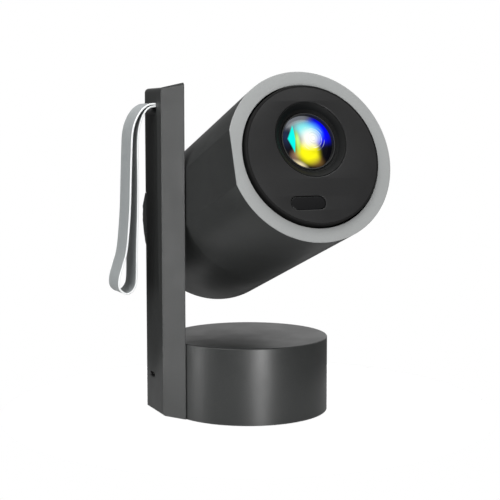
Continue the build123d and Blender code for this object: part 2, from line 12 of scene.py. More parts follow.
import bmesh
import bpy
from mathutils import Matrix, Vector


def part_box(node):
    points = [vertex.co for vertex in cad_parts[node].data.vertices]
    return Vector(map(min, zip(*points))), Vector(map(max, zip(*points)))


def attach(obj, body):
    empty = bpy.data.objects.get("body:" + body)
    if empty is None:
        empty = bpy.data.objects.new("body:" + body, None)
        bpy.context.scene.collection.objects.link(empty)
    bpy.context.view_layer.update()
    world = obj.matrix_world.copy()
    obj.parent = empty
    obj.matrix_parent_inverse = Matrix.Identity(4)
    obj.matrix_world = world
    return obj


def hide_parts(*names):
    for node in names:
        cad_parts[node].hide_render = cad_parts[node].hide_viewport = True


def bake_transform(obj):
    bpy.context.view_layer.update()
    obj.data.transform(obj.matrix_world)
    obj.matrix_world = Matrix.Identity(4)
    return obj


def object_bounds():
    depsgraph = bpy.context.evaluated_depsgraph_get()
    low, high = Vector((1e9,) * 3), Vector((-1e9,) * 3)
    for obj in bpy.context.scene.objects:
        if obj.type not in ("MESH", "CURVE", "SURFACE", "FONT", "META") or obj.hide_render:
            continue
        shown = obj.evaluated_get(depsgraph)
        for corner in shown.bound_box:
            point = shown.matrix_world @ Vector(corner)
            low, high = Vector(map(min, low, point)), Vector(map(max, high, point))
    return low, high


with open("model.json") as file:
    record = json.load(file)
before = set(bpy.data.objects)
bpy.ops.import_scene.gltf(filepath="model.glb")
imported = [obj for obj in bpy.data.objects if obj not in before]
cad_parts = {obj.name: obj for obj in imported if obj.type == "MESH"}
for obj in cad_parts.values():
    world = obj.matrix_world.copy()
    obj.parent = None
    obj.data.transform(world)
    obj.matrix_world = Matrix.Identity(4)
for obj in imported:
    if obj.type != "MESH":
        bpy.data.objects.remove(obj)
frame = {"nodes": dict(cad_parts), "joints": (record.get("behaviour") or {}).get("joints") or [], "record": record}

nodes = frame["nodes"]
cad_low, cad_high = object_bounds()
MM = 0.001
print("frame:", len(nodes), "pieces,", "size in mm", [round(v / MM) for v in cad_high - cad_low])

# %% [markdown]
# ## The camera
# The camera comes first, because every later choice is judged through it. It stands to the left
# of the object and a little above its middle, far enough away for the arm and the lens to keep
# their true proportions. A long lens does the same on a real product table.

# %% Camera
VIEW_TURN = math.radians(23.81)
VIEW_DROP = math.radians(5.87)
VIEW_DISTANCE = 0.86
VIEW_AIM = Vector((0.0083, 0.0155, 0.1094))
LENS_LENGTH_MM = 87.6
SENSOR_WIDTH_MM = 36.0

view_direction = Vector((math.sin(VIEW_TURN) * math.cos(VIEW_DROP),
                         math.cos(VIEW_TURN) * math.cos(VIEW_DROP),
                         -math.sin(VIEW_DROP)))
camera_data = bpy.data.cameras.new("studio_camera")
camera_data.lens = LENS_LENGTH_MM
camera_data.sensor_width = SENSOR_WIDTH_MM
camera_data.clip_start = 10 * MM
camera = bpy.data.objects.new("studio_camera", camera_data)
camera.location = VIEW_AIM - view_direction * VIEW_DISTANCE
camera.rotation_euler = (math.pi / 2 - VIEW_DROP, 0, -VIEW_TURN)
bpy.context.scene.collection.objects.link(camera)
bpy.context.scene.camera = camera
print("camera stands at", [round(v, 3) for v in camera.location])

# %% [markdown]
# ## The head's own axes
# The head looks up a little, so its pieces are easiest to draw in axes of their own: X to the
# right, Y up along the front panel, and Z forward along the lens. The frame says where those axes
# are, because the focus drive turns about the lens axis and the head tilts about its pivot.

# %% Head axes
joints = {joint["name"]: joint for joint in frame["joints"]}
pivot = Vector(joints["head_tilt"]["pos_m"])
forward = Vector(joints["focus_turn"]["axis"]).normalized()
sideways = Vector((1, 0, 0))
upward = forward.cross(sideways)
head_axes = Matrix((sideways, upward, forward)).transposed().to_4x4()
head_axes.translation = (0, pivot.y, pivot.z)


def box_in(node, axes=None):
    """The lowest and highest corner of a piece of the frame, in the world's or in other axes."""
    if axes is None:
        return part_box(node)
    inverse = axes.inverted()
    points = [inverse @ vertex.co for vertex in nodes[node].data.vertices]
    return (Vector(min(p[i] for p in points) for i in range(3)),
            Vector(max(p[i] for p in points) for i in range(3)))


shell_low, shell_high = box_in("head_shell", head_axes)
print("head casing runs", [round(v / MM, 1) for v in (shell_low.z, shell_high.z)], "mm from its pivot")

# %% [markdown]
# ## Helpers for turned casings
# The head, its front ring and the base are all turned shapes with one flat side towards the arm.
# A lathe is the natural tool: draw half a section, spin it, and push every point that passes the
# flat back onto it. Corners of the section are rounded first, because a moulding never has a
# knife edge, and it is the small round that catches the light.


# %% Rounded sections
WELD_DISTANCE = 0.2e-6


def rounded(points, radius, closed=False, steps=5):
    """The same outline with an arc at each corner; radius is one number, or one for each corner."""
    count = len(points)
    made = []
    for i, (x, y) in enumerate(points):
        r = radius[i] if isinstance(radius, (list, tuple)) else radius
        if r <= 0 or (not closed and i in (0, count - 1)):
            made.append((x, y))
            continue
        corner = Vector((x, y))
        before = Vector(points[i - 1]) - corner
        after = Vector(points[(i + 1) % count]) - corner
        half = before.angle(after) / 2
        reach = min(r / math.tan(half), before.length * 0.49, after.length * 0.49)
        start = corner + before.normalized() * reach
        end = corner + after.normalized() * reach
        for k in range(steps + 1):
            t = k / steps
            p = start.lerp(corner, t).lerp(corner.lerp(end, t), t)
            made.append((p.x, p.y))
    return made


def finish_mesh(mesh, crease=32):
    """Point the faces outwards, and shade smoothly except over real corners."""
    work = bmesh.new()
    work.from_mesh(mesh)
    bmesh.ops.remove_doubles(work, verts=work.verts, dist=WELD_DISTANCE)
    bmesh.ops.dissolve_degenerate(work, edges=work.edges, dist=WELD_DISTANCE)
    bmesh.ops.recalc_face_normals(work, faces=work.faces)
    work.to_mesh(mesh)
    work.free()
    mesh.polygons.foreach_set("use_smooth", [True] * len(mesh.polygons))
    mesh.set_sharp_from_angle(angle=math.radians(crease))
    mesh.update()
    return mesh


# %% A lathe with a flat side
def lathe(name, section, flats=None, turns=160, centre=(0, 0), closed=False):
    """Spin (radius, height) points about Z. flats gives each point's flat side, as the lowest X."""
    flats = flats or [None] * len(section)
    angles = [2 * math.pi * i / turns for i in range(turns)]
    widest = max(r for r, z in section)
    for flat in {f for f in flats if f is not None}:
        crossing = math.acos(max(-1, flat / widest))
        angles += [crossing, 2 * math.pi - crossing]
    angles = sorted(set(angles))
    work = bmesh.new()
    rings = []
    for (r, z), flat in zip(section, flats):
        if r < 1e-7:
            rings.append([work.verts.new((centre[0], centre[1], z))])
            continue
        ring = []
        for a in angles:
            x = r * math.cos(a)
            if flat is not None:
                x = max(x, flat)
            ring.append(work.verts.new((x + centre[0], r * math.sin(a) + centre[1], z)))
        rings.append(ring)
    pairs = list(zip(rings, rings[1:]))
    if closed:
        pairs.append((rings[-1], rings[0]))
    for low, high in pairs:
        for k in range(len(angles)):
            n = (k + 1) % len(angles)
            corners = [low[k % len(low)], low[n % len(low)],
                       high[n % len(high)], high[k % len(high)]]
            unique = list(dict.fromkeys(corners))
            if len(unique) > 2:
                work.faces.new(unique)
    mesh = bpy.data.meshes.new(name)
    work.to_mesh(mesh)
    work.free()
    return finish_mesh(mesh)


# %% [markdown]
# ## Helpers for plates
# The front panel and the sensor window are flat plates with round holes. A filled 2D curve
# handles holes by itself, and its own bevel gives the polished edge of an injection-moulded
# panel. The curve becomes a mesh at the end, because the finished piece is a solid.


# %% Plates with holes
def circle(radius, centre=(0, 0), count=128):
    return [(centre[0] + radius * math.cos(2 * math.pi * i / count),
             centre[1] + radius * math.sin(2 * math.pi * i / count)) for i in range(count)]


def round_ended(width, height, centre=(0, 0), count=24):
    """An outline with straight long sides and half-round ends."""
    reach, r = (width - height) / 2, height / 2
    right = [(centre[0] + reach + r * math.cos(a), centre[1] + r * math.sin(a))
             for a in [math.pi * (k / count - 0.5) for k in range(count + 1)]]
    left = [(2 * centre[0] - x, 2 * centre[1] - y) for x, y in right]
    return right + left


def plate(name, outlines, bottom, top, edge):
    """A solid plate between two heights; every outline after the first one is a hole."""
    curve = bpy.data.curves.new(name, "CURVE")
    curve.dimensions = "2D"
    curve.fill_mode = "BOTH"
    curve.extrude = (top - bottom) / 2 - edge
    curve.bevel_depth = edge
    curve.bevel_resolution = 3
    curve.offset = -edge
    for outline in outlines:
        spline = curve.splines.new("POLY")
        spline.points.add(len(outline) - 1)
        for point, (x, y) in zip(spline.points, outline):
            point.co = (x, y, 0, 1)
        spline.use_cyclic_u = True
    holder = bpy.data.objects.new(name + "_curve", curve)
    bpy.context.scene.collection.objects.link(holder)
    bpy.context.view_layer.update()
    evaluated = holder.evaluated_get(bpy.context.evaluated_depsgraph_get())
    mesh = bpy.data.meshes.new_from_object(evaluated)
    bpy.data.objects.remove(holder)
    mesh.transform(Matrix.Translation((0, 0, (top + bottom) / 2)))
    mesh.name = name
    return finish_mesh(mesh)


# %% Put a finished mesh into the scene
def place(name, mesh, finish, body, replaced=(), axes=None):
    """Link a mesh, give it its finish, and let it ride on its body in place of frame pieces."""
    piece = bpy.data.objects.new(name, mesh)
    bpy.context.scene.collection.objects.link(piece)
    mesh.materials.clear()
    mesh.materials.append(finish)
    if axes is not None:
        piece.matrix_world = axes
    if body is not None:
        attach(piece, body)
    if replaced:
        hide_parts(*replaced)
    print(name, "made:", len(mesh.polygons), "faces")
    return piece


# %% [markdown]
# ## Finishes
# Almost every piece is moulded plastic under a thin satin lacquer. Such a surface is never one
# flat colour: a very fine grain breaks up the gloss, broad faint clouds vary it, and the edges
# are a little paler where hands and pockets have polished them. One function builds that family
# of finishes, and each finish only says its colour, its gloss and the size of its grain.


# %% A small kit for shader trees
RANGE_SOCKETS = ("From Min", "From Max", "To Min", "To Max")


class Tree:
    """Adds nodes to a material and links them, so that a finish reads as a short recipe."""

    def __init__(self, name):
        self.material = bpy.data.materials.new(name)
        self.material.use_nodes = True
        self.tree = self.material.node_tree
        self.shader = self.tree.nodes["Principled BSDF"]

    def add(self, kind, **settings):
        node = self.tree.nodes.new(kind)
        for key, value in settings.items():
            setattr(node, key, value)
        return node

    def link(self, source, target):
        self.tree.links.new(source, target)

    def position(self, scale=(1, 1, 1), place_at=(0, 0, 0), turn=0.0, kind="POINT"):
        """The surface's own coordinates in metres, scaled."""
        where = self.add("ShaderNodeTexCoord")
        mapping = self.add("ShaderNodeMapping", vector_type=kind)
        mapping.inputs["Location"].default_value = place_at
        mapping.inputs["Rotation"].default_value = (0, 0, turn)
        mapping.inputs["Scale"].default_value = scale
        self.link(where.outputs["Object"], mapping.inputs["Vector"])
        return mapping.outputs["Vector"]

    def noise(self, size, detail=3.0, scale=(1, 1, 1)):
        """Smooth noise whose blobs are about size metres across."""
        node = self.add("ShaderNodeTexNoise")
        node.inputs["Scale"].default_value = 1 / size
        node.inputs["Detail"].default_value = detail
        self.link(self.position(scale), node.inputs["Vector"])
        return node.outputs["Fac"]

    def remap(self, value, low, high, to_low=0.0, to_high=1.0):
        node = self.add("ShaderNodeMapRange", interpolation_type="SMOOTHSTEP")
        for socket, number in zip(RANGE_SOCKETS, (low, high, to_low, to_high)):
            node.inputs[socket].default_value = number
        self.link(value, node.inputs["Value"])
        return node.outputs["Result"]

    def math(self, operation, a, b):
        node = self.add("ShaderNodeMath", operation=operation)
        for socket, value in zip(node.inputs, (a, b)):
            if isinstance(value, (int, float)):
                socket.default_value = value
            else:
                self.link(value, socket)
        return node.outputs["Value"]

    def mix(self, share, first, second, blend="MIX"):
        node = self.add("ShaderNodeMix", data_type="RGBA", blend_type=blend)
        colour_a, colour_b, colour_result = node.inputs[6], node.inputs[7], node.outputs[2]
        for socket, value in ((node.inputs["Factor"], share), (colour_a, first), (colour_b, second)):
            if isinstance(value, (int, float)):
                socket.default_value = value
            elif isinstance(value, tuple):
                socket.default_value = (*value, 1.0)
            else:
                self.link(value, socket)
        return colour_result

    def bump(self, height, depth, normal=None, strength=1.0):
        node = self.add("ShaderNodeBump")
        node.inputs["Strength"].default_value = strength
        node.inputs["Distance"].default_value = depth
        self.link(height, node.inputs["Height"])
        if normal is not None:
            self.link(normal, node.inputs["Normal"])
        return node.outputs["Normal"]


def shade(colour, factor):
    return tuple(min(1.0, channel * factor) for channel in colour)


# %% The moulded and lacquered family
CLOUD_SIZE = 22 * MM
WORN_EDGE = 0.5 * MM
GLOSS_SPREAD = 0.035


def moulded(name, colour, gloss, grain=0.0005, depth=0.00002, clouds=0.10, worn=0.5, level=0.5):
    """Fine grain in the surface, faint clouds in colour and gloss, and softly polished edges."""
    t = Tree(name)
    surface = t.shader.inputs
    surface["Specular IOR Level"].default_value = level
    cloud = t.noise(CLOUD_SIZE, 4.0)
    speck = t.noise(grain * 1.6, 2.0)
    body = t.mix(cloud, shade(colour, 1 - clouds), shade(colour, 1 + clouds))
    body = t.mix(t.remap(speck, 0.30, 0.70), shade(colour, 1 - clouds), body)
    rim = t.add("ShaderNodeBevel", samples=4)
    rim.inputs["Radius"].default_value = WORN_EDGE
    facing = t.add("ShaderNodeNewGeometry")
    turned_away = t.add("ShaderNodeVectorMath", operation="DOT_PRODUCT")
    t.link(rim.outputs["Normal"], turned_away.inputs[0])
    t.link(facing.outputs["Normal"], turned_away.inputs[1])
    on_edge = t.remap(turned_away.outputs["Value"], 0.995, 0.86, 0.0, worn)
    t.link(t.mix(on_edge, body, shade(colour, 1.9)), surface["Base Color"])
    polish = t.remap(cloud, 0.25, 0.75, gloss - GLOSS_SPREAD, gloss + GLOSS_SPREAD)
    t.link(polish, surface["Roughness"])
    t.link(t.bump(t.noise(grain, 2.0), depth, rim.outputs["Normal"]), surface["Normal"])
    return t.material


finishes = {
    "body_plastic": moulded("graphite_lacquer", (0.030, 0.0315, 0.031), 0.40),
    "arm_plastic": moulded("graphite_arm_lacquer", (0.031, 0.0325, 0.032), 0.42),
    "base_plastic": moulded("base_cover_plastic", (0.028, 0.028, 0.029), 0.62,
                            grain=0.0009, depth=0.00005),
    "chassis_plastic": moulded("arm_inner_plastic", (0.040, 0.042, 0.041), 0.52,
                               grain=0.0008, depth=0.00004),
    "key_plastic": moulded("satin_key_plastic", (0.034, 0.035, 0.035), 0.46, worn=0.8),
    "ring_paint": moulded("satin_grey_ring_paint", (0.290, 0.298, 0.296), 0.46,
                          clouds=0.035, worn=0.35),
    "panel_plastic": moulded("satin_black_panel", (0.014, 0.014, 0.0142), 0.40,
                             depth=0.00001, worn=0.25, level=0.38),
    "bezel_plastic": moulded("matt_black_surround", (0.0030, 0.0034, 0.0032), 0.62,
                             depth=0.00001, worn=0.05, level=0.16),
    "window_plastic": moulded("smoked_window", (0.005, 0.005, 0.0055), 0.22,
                              depth=0.000002, level=0.4),
    # The rim's finish is darker than the panel's: painted shade for the gap between panel and ring.
    "rim_black": moulded("panel_rim_painted_shade", (0.004, 0.004, 0.004), 0.75,
                         depth=0.00001, worn=0.1, level=0.2),
    "inlet_shell": moulded("blackened_tin", (0.010, 0.010, 0.010), 0.40, worn=0.2, level=0.4),
    "barrel_plastic": moulded("matt_black_barrel", (0.010, 0.010, 0.010), 0.70, grain=0.0004),
    "part_black": moulded("black_engineering_plastic", (0.018, 0.018, 0.019), 0.58),
    "rotor_plastic": moulded("fan_rotor_plastic", (0.022, 0.022, 0.024), 0.40),
    "gear_plastic": moulded("acetal_gear", (0.72, 0.71, 0.67), 0.42, clouds=0.03),
    "washer_nylon": moulded("nylon_washer", (0.66, 0.66, 0.63), 0.50, clouds=0.03),
    "led_yellow": moulded("phosphor_cap", (0.80, 0.62, 0.08), 0.65, clouds=0.06),
    "cone_paper": moulded("pressed_paper_cone", (0.045, 0.043, 0.040), 0.85,
                          grain=0.0011, depth=0.0001),
    "board_green": moulded("solder_mask_board", (0.012, 0.095, 0.040), 0.34, grain=0.0012, clouds=0.18),
}
print(len(finishes), "moulded finishes")

# %% [markdown]
# ## Metals, glass and rubber
# Turned and ground metal shows fine lines in one direction, cast iron a coarse sandy skin, and
# silicone rubber a dull bloom. They share one recipe: stretched noise gives the tool marks, and
# the same noise drives the gloss, because a scratch is rougher as well as darker.


# %% Metals
STAIN_SIZE = 6 * MM
GROUND_EDGE = 0.3 * MM


def worked_metal(name, colour, gloss, stretch=(1, 1, 14), line=0.0012, depth=0.00001):
    """Metal with tool marks that run along one direction."""
    t = Tree(name)
    surface = t.shader.inputs
    surface["Metallic"].default_value = 1.0
    marks = t.noise(line, 5.0, stretch)
    stain = t.noise(STAIN_SIZE, 3.0)
    tone = t.mix(marks, shade(colour, 0.82), shade(colour, 1.12))
    t.link(t.mix(t.remap(stain, 0.5, 0.8, 0.0, 0.35), tone, shade(colour, 0.6)), surface["Base Color"])
    t.link(t.remap(marks, 0.2, 0.8, gloss - 0.08, gloss + 0.10), surface["Roughness"])
    rim = t.add("ShaderNodeBevel", samples=4)
    rim.inputs["Radius"].default_value = GROUND_EDGE
    t.link(t.bump(marks, depth, rim.outputs["Normal"]), surface["Normal"])
    return t.material


finishes["screw_steel"] = worked_metal("black_zinc_steel", (0.20, 0.20, 0.21), 0.34)
finishes["hinge_steel"] = worked_metal("ground_steel", (0.52, 0.52, 0.53), 0.30)
finishes["socket_steel"] = worked_metal("nickel_plate", (0.60, 0.60, 0.59), 0.24, stretch=(10, 1, 1))
finishes["post_brass"] = worked_metal("turned_brass", (0.74, 0.55, 0.25), 0.28)
finishes["sink_aluminium"] = worked_metal("extruded_aluminium", (0.72, 0.73, 0.74), 0.36,
                                          stretch=(1, 14, 14))
finishes["ballast_iron"] = worked_metal("cast_iron", (0.11, 0.11, 0.11), 0.70,
                                        stretch=(1, 1, 1), depth=0.0001)


# %% Rubber
def silicone(name, colour):
    """Dull, slightly dusty rubber with a bloom at glancing angles."""
    t = Tree(name)
    surface = t.shader.inputs
    surface["Sheen Weight"].default_value = 0.25
    surface["Sheen Roughness"].default_value = 0.6
    dust = t.remap(t.noise(0.004, 6.0), 0.45, 0.85, 0.0, 0.5)
    t.link(t.mix(dust, colour, shade(colour, 2.6)), surface["Base Color"])
    t.link(t.remap(t.noise(0.010, 3.0), 0.2, 0.8, 0.72, 0.88), surface["Roughness"])
    t.link(t.bump(t.noise(0.0006, 2.0), 0.00004), surface["Normal"])
    return t.material


finishes["foot_rubber"] = silicone("silicone_foot", (0.020, 0.020, 0.021))


# %% Clear parts
def clear_part(name, tint, gloss, ribs=None):
    """Glass or acrylic; ribs gives the spacing of a ribbed lens sheet's rings."""
    t = Tree(name)
    surface = t.shader.inputs
    surface["Transmission Weight"].default_value = 0.92
    surface["IOR"].default_value = 1.49
    t.link(t.mix(t.noise(0.02, 2.0), shade(tint, 0.94), tint), surface["Base Color"])
    t.link(t.remap(t.noise(0.008, 3.0), 0.3, 0.8, gloss, gloss + 0.04), surface["Roughness"])
    if ribs:
        rings = t.add("ShaderNodeTexWave", wave_type="RINGS", rings_direction="SPHERICAL")
        rings.inputs["Scale"].default_value = 1 / ribs
        t.link(t.position(), rings.inputs["Vector"])
        t.link(t.bump(rings.outputs["Fac"], 0.0001), surface["Normal"])
    return t.material


finishes["lens_glass"] = clear_part("inner_lens_glass", (0.90, 0.94, 1.0), 0.01)
finishes["clear_plate"] = clear_part("ribbed_acrylic", (0.93, 0.97, 0.96), 0.04, ribs=0.0012)
finishes["lcd_glass"] = clear_part("picture_panel_glass", (0.20, 0.22, 0.27), 0.03)
print(len(finishes), "finishes in all")

# %% [markdown]
# ## Give every frame piece its finish
# The record says which finish each piece of the frame takes. The small inner pieces, such as
# gears, boards and screws, already have their true shape, so they only need their finish; the
# visible casings are made again below with softer edges.

# %% Finishes for the frame's pieces
for part in frame["record"]["subparts"]:
    materials = nodes[part["node"]].data.materials
    materials.clear()
    if part["material_slot"] in finishes:
        materials.append(finishes[part["material_slot"]])
nodes["power_inlet"].data.materials[0] = finishes["inlet_shell"]

# %% [markdown]
# ## The base
# The base is a short drum with a flat side where the arm is screwed on. Its top is a plain disc
# with a small round at the rim. It is turned as one hollow shell, open below, because that is
# how the moulding is, and the round at its rim is what draws the thin light line around the top.

# %% Base casing
base_low, base_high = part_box("base_shell")
BASE_RADIUS = base_high.x
BASE_FLAT = base_low.x
BASE_WALL = 2.2 * MM
BASE_RIM = 0.9 * MM
BASE_INNER_FLAT = BASE_FLAT + BASE_WALL + 0.2 * MM
outer_line = rounded([(0, base_high.z), (BASE_RADIUS, base_high.z), (BASE_RADIUS, base_low.z),
                      (BASE_RADIUS - BASE_WALL, base_low.z)], [0, BASE_RIM, 0.4 * MM, 0])
inner_line = [(BASE_RADIUS - BASE_WALL, base_high.z - BASE_WALL), (0, base_high.z - BASE_WALL)]
flats = [BASE_FLAT] * (len(outer_line) - 1) + [BASE_INNER_FLAT] * (len(inner_line) + 1)
place("base_casing", lathe("base_casing", outer_line + inner_line, flats, turns=240),
      finishes["body_plastic"], "stand", ["base_shell"])

# %% [markdown]
# The foot is a silicone disc. Rings pressed into its underside keep the projector from creeping
# on a polished table, and they are cheap to turn: the section just steps in and out.

# %% Foot pad with grip rings
pad_low, pad_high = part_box("foot_pad")
PAD_RADIUS = pad_high.x
PAD_CHAMFER = 0.4 * MM
GROOVE_PITCH = 4.0 * MM
GROOVE_DEPTH = 0.35 * MM
GROOVE_SLOPE = 0.3 * MM
GROOVE_WIDTH = 1.8 * MM
PLAIN_MARGIN = 3 * MM
PLAIN_MIDDLE = 8 * MM
foot_line = [(0, pad_high.z), (PAD_RADIUS, pad_high.z), (PAD_RADIUS, pad_low.z + PAD_CHAMFER),
             (PAD_RADIUS - PAD_CHAMFER, pad_low.z)]
radius = PAD_RADIUS - PLAIN_MARGIN
while radius > PLAIN_MIDDLE:
    for step, height in ((0, 0), (GROOVE_SLOPE, GROOVE_DEPTH),
                         (GROOVE_WIDTH - GROOVE_SLOPE, GROOVE_DEPTH), (GROOVE_WIDTH, 0)):
        foot_line.append((radius - step, pad_low.z + height))
    radius -= GROOVE_PITCH
foot_line.append((0, pad_low.z))
place("silicone_foot", lathe("silicone_foot", foot_line), finishes["foot_rubber"], "stand",
      ["foot_pad"])

# %% [markdown]
# ## The head casing
# The head is a long drum, rounded at the rear and cut flat beside the arm. It is one moulding
# with a thin wall, so the lathe section goes down the outside, round the rear, and back along
# the inside. The flat is deeper outside than the wall is thick, so inner and outer points each
# keep their own flat.

# %% Head casing
REAR = shell_low.z
SEAM = shell_high.z
HEAD_RADIUS = shell_high.x
HEAD_FLAT = shell_low.x
HEAD_WALL = 2.2 * MM
REAR_ROUND = 14.0 * MM
REAR_OPENING = 38.5 * MM
OPENING_EDGE = 0.3 * MM
SEAM_ROUND = 0.35 * MM
SEAM_CORNER = 0.1 * MM
HEAD_INNER_FLAT = HEAD_FLAT + 2.7 * MM


def quarter(radius, rear, bend, steps=14):
    """A quarter circle from the side wall round to the rear face."""
    return [(radius - bend + bend * math.cos(a), rear + bend - bend * math.sin(a))
            for a in [math.pi / 2 * k / steps for k in range(steps + 1)]]


outside = [(HEAD_RADIUS - SEAM_ROUND, SEAM), (HEAD_RADIUS - SEAM_CORNER, SEAM - SEAM_CORNER),
           (HEAD_RADIUS, SEAM - SEAM_ROUND)]
outside += quarter(HEAD_RADIUS, REAR, REAR_ROUND)
outside += [(REAR_OPENING + OPENING_EDGE, REAR), (REAR_OPENING, REAR + OPENING_EDGE)]
inside = [(REAR_OPENING, REAR + HEAD_WALL)]
inside += reversed(quarter(HEAD_RADIUS - HEAD_WALL, REAR + HEAD_WALL, REAR_ROUND - HEAD_WALL))
inside += [(HEAD_RADIUS - HEAD_WALL, SEAM)]
flats = [HEAD_FLAT] * len(outside) + [HEAD_INNER_FLAT] * len(inside)
place("head_casing", lathe("head_casing", outside + inside, flats, turns=300, closed=True),
      finishes["body_plastic"], "head", ["head_shell"], head_axes)

# %% [markdown]
# ## The front ring
# A lighter ring closes the front of the casing. On the real object it is a separate painted part,
# pushed into the casing, so a hair-thin groove shows where the two meet. Rounding both edges of
# that groove is enough to make it read as a joint.

# %% Front ring
ring_low, ring_high = box_in("front_ring", head_axes)
RING_FACE = ring_high.z
RING_INNER = 46.0 * MM
RING_SEAT = SEAM + 0.03 * MM
RING_BACK = RING_FACE - 4 * MM
SPIGOT_INNER = 49.6 * MM
SPIGOT_OUTER = 52.5 * MM
SPIGOT_FLAT = HEAD_FLAT + 2.9 * MM
ring_line = rounded([(RING_INNER, RING_BACK), (RING_INNER, RING_FACE), (HEAD_RADIUS, RING_FACE),
                     (HEAD_RADIUS, RING_SEAT), (SPIGOT_OUTER, RING_SEAT), (SPIGOT_OUTER, ring_low.z),
                     (SPIGOT_INNER, ring_low.z), (SPIGOT_INNER, RING_BACK)],
                    [0, 0.35 * MM, 0.25 * MM, 0.15 * MM, 0, 0, 0, 0], closed=True)
ring_flats = [HEAD_FLAT if z >= RING_SEAT and r > SPIGOT_OUTER + 0.1 * MM else SPIGOT_FLAT
              for r, z in ring_line]
place("front_ring_painted", lathe("front_ring_painted", ring_line, ring_flats, turns=300, closed=True),
      finishes["ring_paint"], "head", ["front_ring"], head_axes)

# %% [markdown]
# ## The front panel
# The black panel stands a few millimetres proud of the ring. It is a flat plate with a round hole
# for the lens and a round-ended hole for the sensor window. The plate is drawn once as outlines,
# and the filled curve cuts the holes. Its rim is a round border, turned on the lathe, with a darker
# and duller finish than the panel: painted shade, which draws the shadow between panel and ring.

# %% Front panel
panel_low, panel_high = box_in("front_panel", head_axes)
bezel_low, bezel_high = box_in("lens_bezel", head_axes)
window_low, window_high = box_in("sensor_window", head_axes)
PANEL_FACE = panel_high.z
PANEL_RADIUS = 44.9 * MM
PANEL_EDGE = 1.1 * MM
LENS_CENTRE = (0.0, (bezel_low.y + bezel_high.y) / 2)
LENS_HOLE = 24.2 * MM
WINDOW_CENTRE = ((window_low.x + window_high.x) / 2, (window_low.y + window_high.y) / 2)
WINDOW_SIZE = (window_high.x - window_low.x, window_high.y - window_low.y)
WINDOW_GAP = 0.6 * MM
PANEL_BACK = PANEL_FACE - 6.7 * MM
HOLE_EDGE = 0.35 * MM
RIM_FACE = PANEL_FACE + 0.005 * MM
RIM_INNER = PANEL_RADIUS - PANEL_EDGE - 0.4 * MM
panel_rim = rounded([(RIM_INNER, PANEL_BACK), (RIM_INNER, RIM_FACE), (PANEL_RADIUS, RIM_FACE),
                     (PANEL_RADIUS, PANEL_BACK)], [0, 0, 1.9 * PANEL_EDGE, 0], closed=True, steps=8)
panel_outlines = [circle(PANEL_RADIUS - PANEL_EDGE, count=200), circle(LENS_HOLE, LENS_CENTRE),
                  round_ended(WINDOW_SIZE[0] + WINDOW_GAP, WINDOW_SIZE[1] + WINDOW_GAP, WINDOW_CENTRE)]
panel_mesh = plate("front_panel_plate", panel_outlines, PANEL_BACK, PANEL_FACE, HOLE_EDGE)
place("front_panel_plate", panel_mesh, finishes["panel_plastic"], "head", ["front_panel"], head_axes)
# The rim's darker finish is painted shade, for the shadow between panel and ring.
place("panel_rim", lathe("panel_rim", panel_rim, turns=200, closed=True), finishes["rim_black"], "head",
      axes=head_axes)
place("sensor_window_pane",
      plate("sensor_window_pane", [round_ended(*WINDOW_SIZE, WINDOW_CENTRE)],
            window_low.z, window_high.z, 0.3 * MM),
      finishes["window_plastic"], "head", ["sensor_window"], head_axes)

# %% [markdown]
# ## The lens surround
# A matt black cone leads from the panel down to the lens. Its lower part has fine steps, which real
# lens makers cut to catch stray light. The whole is one lathe section: lip, cone, steps, and a
# short bore behind them.

# %% Lens surround
glass_low, glass_high = box_in("front_lens", head_axes)
BORE = 18.6 * MM
LIP = LENS_HOLE - 0.1 * MM
TUBE_OUTER = 20.2 * MM
CONE_FOOT = PANEL_FACE - 4.0 * MM
STEPS = 4
STEPS_WIDTH = 2.0 * MM
STEPS_HEIGHT = 1.0 * MM
back_and_tube = [(BORE, bezel_low.z), (TUBE_OUTER, bezel_low.z), (TUBE_OUTER, CONE_FOOT - 0.4 * MM)]
lip = [(LIP, PANEL_FACE - 2.6 * MM), (LIP, PANEL_FACE - 0.35 * MM),
       (LIP - 0.25 * MM, PANEL_FACE - 0.12 * MM), (LIP - 0.6 * MM, PANEL_FACE - 0.25 * MM)]
cone_end = (BORE + STEPS_WIDTH + 0.1 * MM, CONE_FOOT + STEPS_HEIGHT + 0.2 * MM)
surround = back_and_tube + lip + [cone_end]
for k in range(STEPS):
    r = BORE + STEPS_WIDTH * (1 - k / STEPS)
    z = CONE_FOOT + STEPS_HEIGHT * (1 - k / STEPS)
    surround += [(r, z), (r - 0.12 * MM, z - 0.25 * MM)]
surround.append((BORE, CONE_FOOT - 0.1 * MM))
place("lens_surround", lathe("lens_surround", surround, centre=LENS_CENTRE, turns=200, closed=True),
      finishes["bezel_plastic"], "head", ["lens_bezel"], head_axes)

# %% [markdown]
# ## The front glass
# The front element bulges out of its barrel. Its colours are painted reflections and painted
# highlights, and the same colours go out again as emission, so the glass glows though it is no
# lamp: a painted white highlight with fine rings, a cyan flare on one side, blue above, yellow
# below and brown shade underneath. The pattern is painted in the lens's own coordinates, and a
# polished coat adds the real reflections of the room.


# %% Glass with painted reflections
WHOLE_DEPTH = 1000.0
SHARD_BACK = 6.0


